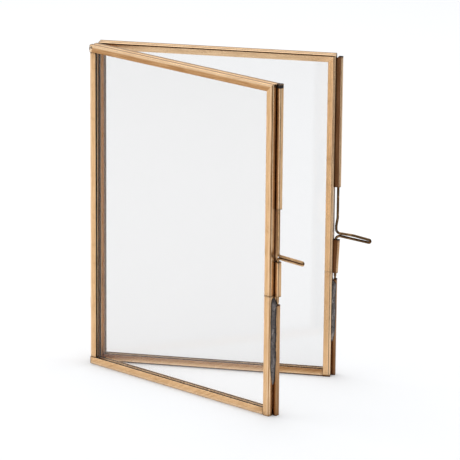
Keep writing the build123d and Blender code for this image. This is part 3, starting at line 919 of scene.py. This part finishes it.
class DOUBLEFRAME_OT_panes(bpy.types.Operator):
    """Cuts the glass panes with ground edges"""

    bl_idname = "double_frame.panes"
    bl_label = "Glass Panes"

    def execute(self, context):
        # The far leaf's greyer glass is painted shade
        tints = {"near": colours().near_glass, "far": colours().shaded_far_glass}
        for leaf in LEAVES:
            glass = clear_glass(leaf + "_glass", tints[leaf])
            for piece in ("front_pane", "rear_pane"):
                self.pane(leaf, piece, glass)
        return {"FINISHED"}

    def pane(self, leaf, piece, glass):
        """Flat sheet with its edges ground off at 45 degrees.

        The rows are four rectangles from the front face to the rear face, the two faces drawn in by the arris.
        """
        low, high = leaf_box(leaf, piece)
        arris = sizes().pane_arris
        inset = np.array((arris, 0.0, 0.0, arris))[:, None]
        y = np.array((low[1], low[1] + arris, high[1] - arris, high[1]))[:, None]
        x = np.array((low[0], high[0], high[0], low[0])) + inset * [1, -1, -1, 1]
        z = np.array((low[2], low[2], high[2], high[2])) + inset * [1, 1, -1, -1]
        rows = np.stack([x, np.broadcast_to(y, x.shape), z], -1)
        faces = [grid_quads(4, 4), np.array([[3, 2, 1, 0], [12, 13, 14, 15]])]
        points = rows.reshape(-1, 3)
        marks = {"edge": np.repeat((0.0, 1.0, 1.0, 0.0), 4)}
        name = f"{leaf}_{piece}"
        sheet = make_piece(name + "_visual", leaf, points, faces, points[:, [0, 2]], marks, glass, name)
        sheet.visible_shadow = False
        sheet.visible_diffuse = False


class DOUBLEFRAME_OT_solder(bpy.types.Operator):
    """Runs the lumpy solder seams of the keepers and the blobs in the spine corners"""

    bl_idname = "double_frame.solder"
    bl_label = "Solder"

    def execute(self, context):
        solder = dull_solder("dull_solder", shade=1.0)
        washed = washed_solder("washed_solder")
        for seed, leaf in enumerate(LEAVES, 70):
            self.keeper_seam(leaf, solder, seed)
            self.corner_blob(leaf, washed, seed + 5)
        # The plug's black solder is painted shade, standing for the dark inside of the guide's open top
        self.guide_plug("near", dull_solder("black_solder_painted_shade", shade=0.21), seed=90)
        return {"FINISHED"}

    def keeper_seam(self, leaf, solder, seed):
        """Lump in the angle between the front panel's free face and the keeper's front flange.

        Each row is a loop: the corner, a point on the panel, a bulging line and a point on the keeper. Both widths
        and the bulge swell from the tapered ends and vary with seeded ripples. The mark of painted shade is 1 along
        both edges.
        """
        low, high = leaf_box(leaf, "keeper_solder")
        share = np.linspace(0.0, 1.0, SEAM_ROWS)[:, None]
        across = np.linspace(0.0, 1.0, SEAM_POINTS)
        z = low[2] + share * (high[2] - low[2])
        swell = np.minimum(np.minimum(share / SEAM_FOOT, (1 - share) / SEAM_TOP), 1.0) ** 0.6
        lumps = ripple(z / SEAM_LUMP, across[None, :] * 5.0, seed)
        streaks = ripple(z / SEAM_STREAK, across[None, :] * 14.0, seed + 1)
        panel_lumps, keeper_lumps = lumps[:, 4:5], lumps[:, 12:13]
        on_panel = (high[1] - low[1]) * (0.35 + 0.65 * swell) * (0.96 + 0.2 * panel_lumps)
        width = high[0] - low[0] + SEAM_SPREAD[leaf]
        on_keeper = width * (0.15 + 0.85 * swell) * (0.9 + 0.14 * keeper_lumps)
        bulge = sizes().solder_bulge * swell * (4 * across * (1 - across)) ** 0.7
        bulge = bulge * (1.0 + 0.7 * lumps + 0.45 * streaks) / np.hypot(on_panel, on_keeper)
        x = low[0] + on_keeper * across + bulge * on_panel
        y = np.minimum(high[1] - on_panel * (1 - across) - bulge * on_keeper, high[1])
        corner_x = np.full_like(z, low[0] - SEAM_SUNK)
        x = np.concatenate([corner_x, corner_x, x], 1)
        y = np.concatenate([np.full_like(z, high[1]), y[:, :1], y], 1)
        rows = np.stack([x, y, np.broadcast_to(z, x.shape)], -1)
        # Painted shade along both edges and in streaks
        edges = np.maximum(ramp(across, 0.62, 0.85), 1 - ramp(across, 0.05, 0.16))
        rim_shade = np.clip(edges + 0.3 * streaks * (across > 0.3), 0.0, 1.0)
        marks = {"rim_shade": np.concatenate([np.ones((SEAM_ROWS, 2)), rim_shade], 1)}
        tube(f"{leaf}_keeper_solder_visual", leaf, rows, solder, marks, f"{leaf}_keeper_solder")

    def corner_blob(self, leaf, solder, seed):
        """Lump over the open spine end of the front top channel: a rippled ellipsoid on its rows of latitude.

        The near leaf's lump swells out over the front face too. Painted shade darkens the side turned to the left,
        where the mark is 1.
        """
        low, high = leaf_box(leaf, "front_top_channel")
        middle = np.array((low[0], low[1], high[2])) + np.array(BLOB_PLACE[leaf]) * MM
        polar = np.linspace(BLOB_POLE, np.pi - BLOB_POLE, BLOB_ROWS)[:, None]
        round_about = np.linspace(0.0, 2 * np.pi, BLOB_POINTS + 1)[None, :-1]
        swell = 1.0 + 0.05 * ripple(3 * polar, 2 * np.cos(round_about) + np.sin(round_about), seed)
        x = np.sin(polar) * np.cos(round_about) * swell
        y = np.sin(polar) * np.sin(round_about)
        z = np.broadcast_to(np.cos(polar), x.shape)
        rows = middle + np.array(BLOB_REACH[leaf]) * MM * np.stack([x, y, z], -1)
        # Painted shade on the side turned to the left
        marks = {"rim_shade": ramp(-0.77 * x - 0.64 * y, 0.55, 0.85)}
        tube(f"{leaf}_corner_solder_visual", leaf, rows, solder, marks, f"{leaf}_corner_solder")

    def guide_plug(self, leaf, solder, seed):
        """Cap over the open top of the bolt guide: square loops with rounded corners that end in a rippled crown.

        A loop's points are the box's half sizes times the cosine and sine of the angle, both raised to a power.
        """
        low, high = leaf_box(leaf, "upper_bolt_guide")
        inner = leaf_box(leaf, "rear_top_channel")[1][0]
        half = np.array((high[0] - inner, high[1] - low[1])) / 2 + PLUG_LAP
        middle = np.array((high[0] + inner, low[1] + high[1])) / 2
        angle = np.linspace(0.0, 2 * np.pi, PLUG_POINTS + 1)[None, :-1]
        wave = np.stack([np.cos(angle), np.sin(angle)], -1)
        square = np.sign(wave) * np.abs(wave) ** PLUG_SQUARE
        place = middle + half * square * PLUG_DRAW[:, None, None]
        bumps = PLUG_BUMPS * (ripple(place[..., 0] / (0.5 * MM), place[..., 1] / (0.6 * MM), seed) - 1.0)
        rows = np.concatenate([place, (high[2] + PLUG_RISE[:, None] + bumps)[..., None]], -1)
        tube(f"{leaf}_guide_plug", leaf, rows, solder, {}, f"{leaf}_upper_bolt_guide", "grey_solder")


class DOUBLEFRAME_OT_hardware(bpy.types.Operator):
    """Bends the wire bolts and gives the pins and hinge knuckles their finishes"""

    bl_idname = "double_frame.hardware"
    bl_label = "Bolts and Hinges"

    def execute(self, context):
        dark = antique_wire("dark_wire", colours().dark_wire)
        knuckle = hinge_brass("hinge_brass")
        # The near bolt's paler wire and the far bolt's dark wire are one wire in painted light and painted shade
        self.bolt("near", antique_wire("lit_near_bolt_wire", colours().lit_near_wire), seed=81)
        self.bolt("far", dark, seed=82)
        for name, node in frame["nodes"].items():
            if name.endswith("_pins"):
                node.data.materials[0] = dark
            elif name.endswith("_knuckles"):
                node.data.materials[0] = knuckle
        return {"FINISHED"}

    def bolt(self, leaf, wire, seed):
        """Bent wire: rings of a circle square to a rounded line, in the middle plane of the rear panel.

        The rings shrink over the last steps at both ends to a blunt point, widen a little where the near wire stands
        free in its window, and seeded ripples leave the wire uneven. The mark of painted shade is 1 where the handle's
        two strands face each other.
        """
        low, high = leaf_box(leaf, "slide_bolt")
        corners = np.array(BOLT_LINES[leaf])
        line = rounded_line(corners, WIRE_STEP) * MM
        ahead = np.gradient(line, axis=0)
        ahead /= np.linalg.norm(ahead, axis=1, keepdims=True)
        square = np.stack([-ahead[:, 1], np.zeros(len(line)), ahead[:, 0]], -1)
        middle = np.stack([line[:, 0], np.full(len(line), (low[1] + high[1]) / 2), line[:, 1]], -1)
        round_about = np.linspace(0.0, 2 * np.pi, RING_POINTS + 1)[None, :-1]
        steps = np.arange(len(line))
        from_end = np.minimum(steps, steps[::-1])
        shrink = 1.0 - TIP_SHRINKAGE * ramp(TIP_RINGS - from_end, 0.0, TIP_RINGS)
        uneven = 1.0 - UNEVEN_SHARE * (1 + ripple(steps[:, None] / UNEVEN_STEPS, 2 * np.cos(round_about), seed))
        radius = ((high[1] - low[1]) / 2 * shrink[:, None] * uneven)[..., None]
        wider = 1 + WIRE_WIDER[leaf] * band(line[:, 1], *WINDOW_HEIGHTS)
        broad = np.cos(round_about)[..., None] * square[:, None, :] * wider[:, None, None]
        rows = middle[:, None, :] + radius * (broad + np.sin(round_about)[..., None] * AXIS_Y)
        places = corners[:, :2] * MM
        root = (places[HANDLE_START[leaf]] + places[-2]) / 2
        tip = (places[-4] + places[-3]) / 2
        between = np.interp(rows[..., 0], (root[0], tip[0]), (root[1], tip[1]))
        on_handle = rows[..., 0] > root[0] - 0.9 * MM
        # Painted shade between the handle's two strands
        marks = {"crevice_dirt_and_shade": (1 - rise(np.abs(rows[..., 2] - between), 0.16, 0.55)) * on_handle}
        tube(f"{leaf}_slide_bolt_visual", leaf, rows, wire, marks, f"{leaf}_slide_bolt")


class DOUBLEFRAME_OT_stage(bpy.types.Operator):
    """Sets the pale floor, the soft lamps, the white surroundings and the camera"""

    bl_idname = "double_frame.stage"
    bl_label = "Studio"

    def execute(self, context):
        context.scene.view_settings.view_transform = "Standard"
        self.floor(context)
        self.lamps(context)
        self.surroundings(context)
        self.camera(context)
        return {"FINISHED"}

    def floor(self, context):
        """Large pale square, with cards on it that only the brass mirrors."""
        corners = FLOOR_HALF * np.array(((-1, -1, 0), (1, -1, 0), (1, 1, 0), (-1, 1, 0)))
        mesh = bpy.data.meshes.new("studio_floor")
        mesh.from_pydata(corners, [], [(0, 1, 2, 3)])
        floor = bpy.data.objects.new("studio_floor", mesh)
        context.scene.collection.objects.link(floor)
        shading = Shading(bpy.data.materials.new("studio_floor"))
        pale, dark = (
            shading.add("BsdfDiffuse", {"Color": with_alpha(tone)})[0] for tone in (colours().floor, DARK_CARD)
        )
        bright = shading.add("Emission", {"Color": with_alpha(WHITE), "Strength": BRIGHT_CARD_LEVEL})[0]
        mirrored = self.mirrored(shading)
        dark_share, bright_share = (shading.times(mirrored, share) for share in self.card_shares(shading))
        carded = shading.mix_shader(dark_share, pale, dark)
        mesh.materials.append(shading.finish(shading.mix_shader(bright_share, carded, bright)))

    def card_shares(self, shading):
        """Where the cards lie: dark on the right and front right, bright in front."""
        axes = shading.add("SeparateXYZ", {0: shading.place()})
        right = shading.remap(axes["X"], 0.12, 0.20, 0.0, 0.2)
        front_right = shading.times(shading.remap(axes["X"], 0.08, 0.15), shading.remap(axes["Y"], -0.03, -0.15))
        middle = shading.times(shading.remap(axes["X"], -0.30, -0.18), shading.remap(axes["X"], 0.08, 0.03))
        front = shading.remap(axes["Y"], -0.10, -0.20)
        return shading.math("MAXIMUM", right, front_right), shading.times(middle, front)

    def mirrored(self, shading):
        """1 for rays that metal or glass throws back, 0 for those that pass through the glass and for all others."""
        path = shading.add("LightPath")
        return shading.math("SUBTRACT", path["Is Glossy Ray"], path["Is Transmission Ray"], use_clamp=True)

    def seen(self, shading):
        """1 for rays that come from the camera or by way of metal and glass, 0 for the light that falls on things."""
        path = shading.add("LightPath")
        shown = shading.math("MAXIMUM", path["Is Camera Ray"], path["Is Glossy Ray"])
        return shading.math("MAXIMUM", shown, path["Is Transmission Ray"])

    def lamps(self, context):
        """Square area lamps that face the frame."""
        for name, (place, width, power) in LAMPS.items():
            lamp = bpy.data.lights.new(name, "AREA")
            lamp.size = width
            lamp.energy = power
            thing = bpy.data.objects.new(name, lamp)
            thing.location = place
            thing.rotation_euler = (Vector(LAMP_TARGET) - Vector(place)).to_track_quat("-Z", "Y").to_euler()
            context.scene.collection.objects.link(thing)

    def surroundings(self, context):
        """White for what is seen, a plain soft light for the rest.

        The brass mirrors a studio that is white above, greyer round the horizon and darker in front and on the right.
        """
        world = bpy.data.worlds.new("studio")
        context.scene.world = world
        shading = Shading(world)
        axes = shading.add("SeparateXYZ", {0: shading.add("TexCoord")["Generated"]})
        height = shading.remap(axes["Z"], 0.40, 0.95, 0.55, 0.85)
        right = shading.remap(axes["X"], 0.15, 0.80, 1.0, 0.4)
        front = shading.remap(axes["Y"], -0.2, -0.65, 1.0, 0.15)
        levels = ((WHITE, shading.times(shading.times(height, right), front)), (WHITE, 1.0), (AMBIENT, AMBIENT_LEVEL))
        studio, white, ambient = (
            shading.add("Background", {"Color": with_alpha(tone), "Strength": level})[0] for tone, level in levels
        )
        plain = shading.mix_shader(self.seen(shading), ambient, white)
        shading.add("OutputWorld", {"Surface": shading.mix_shader(self.mirrored(shading), plain, studio)})

    def camera(self, context):
        """Long lens in front and a little above, turned, tipped and rolled as measured in the picture."""
        yaw, pitch, roll = radians(CAMERA_YAW), radians(CAMERA_PITCH), radians(CAMERA_ROLL)
        forward = Vector((sin(yaw) * cos(pitch), cos(yaw) * cos(pitch), -sin(pitch)))
        level = Vector((cos(yaw), -sin(yaw), 0.0))
        upright = level.cross(forward)
        right = cos(roll) * level + sin(roll) * upright
        up = cos(roll) * upright - sin(roll) * level
        data = bpy.data.cameras.new("studio_camera")
        data.sensor_width = CAMERA_SENSOR
        data.lens = CAMERA_LENS
        data.clip_end = CAMERA_REACH
        camera = bpy.data.objects.new("studio_camera", data)
        camera.matrix_world = Matrix((right, up, -forward)).transposed().to_4x4()
        camera.location = CAMERA_PLACE
        context.scene.collection.objects.link(camera)
        context.scene.camera = camera


class DOUBLEFRAME_PT_sidebar(bpy.types.Panel):
    """Lists the frame's pieces and their settings"""

    bl_idname = "DOUBLEFRAME_PT_sidebar"
    bl_label = "Double Photo Frame"
    bl_space_type = "VIEW_3D"
    bl_region_type = "UI"
    bl_category = "Double Frame"

    def draw(self, context):
        for operator in OPERATORS:
            self.layout.operator(operator.bl_idname)
        for group in (context.scene.double_frame_sizes, context.scene.double_frame_colours):
            column = self.layout.column(align=True)
            for key in type(group).__annotations__:
                column.prop(group, key)


OPERATORS = (
    DOUBLEFRAME_OT_channels,
    DOUBLEFRAME_OT_guides,
    DOUBLEFRAME_OT_panes,
    DOUBLEFRAME_OT_solder,
    DOUBLEFRAME_OT_hardware,
    DOUBLEFRAME_OT_stage,
)
CLASSES = (FrameSizes, FrameColours, *OPERATORS, DOUBLEFRAME_PT_sidebar)


def register():
    for item in CLASSES:
        bpy.utils.register_class(item)
    bpy.types.Scene.double_frame_sizes = PointerProperty(type=FrameSizes)
    bpy.types.Scene.double_frame_colours = PointerProperty(type=FrameColours)


def unregister():
    del bpy.types.Scene.double_frame_colours
    del bpy.types.Scene.double_frame_sizes
    for item in reversed(CLASSES):
        bpy.utils.unregister_class(item)


def main():
    register()
    bpy.ops.double_frame.channels()
    bpy.ops.double_frame.guides()
    bpy.ops.double_frame.panes()
    bpy.ops.double_frame.solder()
    bpy.ops.double_frame.hardware()
    bpy.ops.double_frame.stage()


if __name__ == "__main__":
    main()
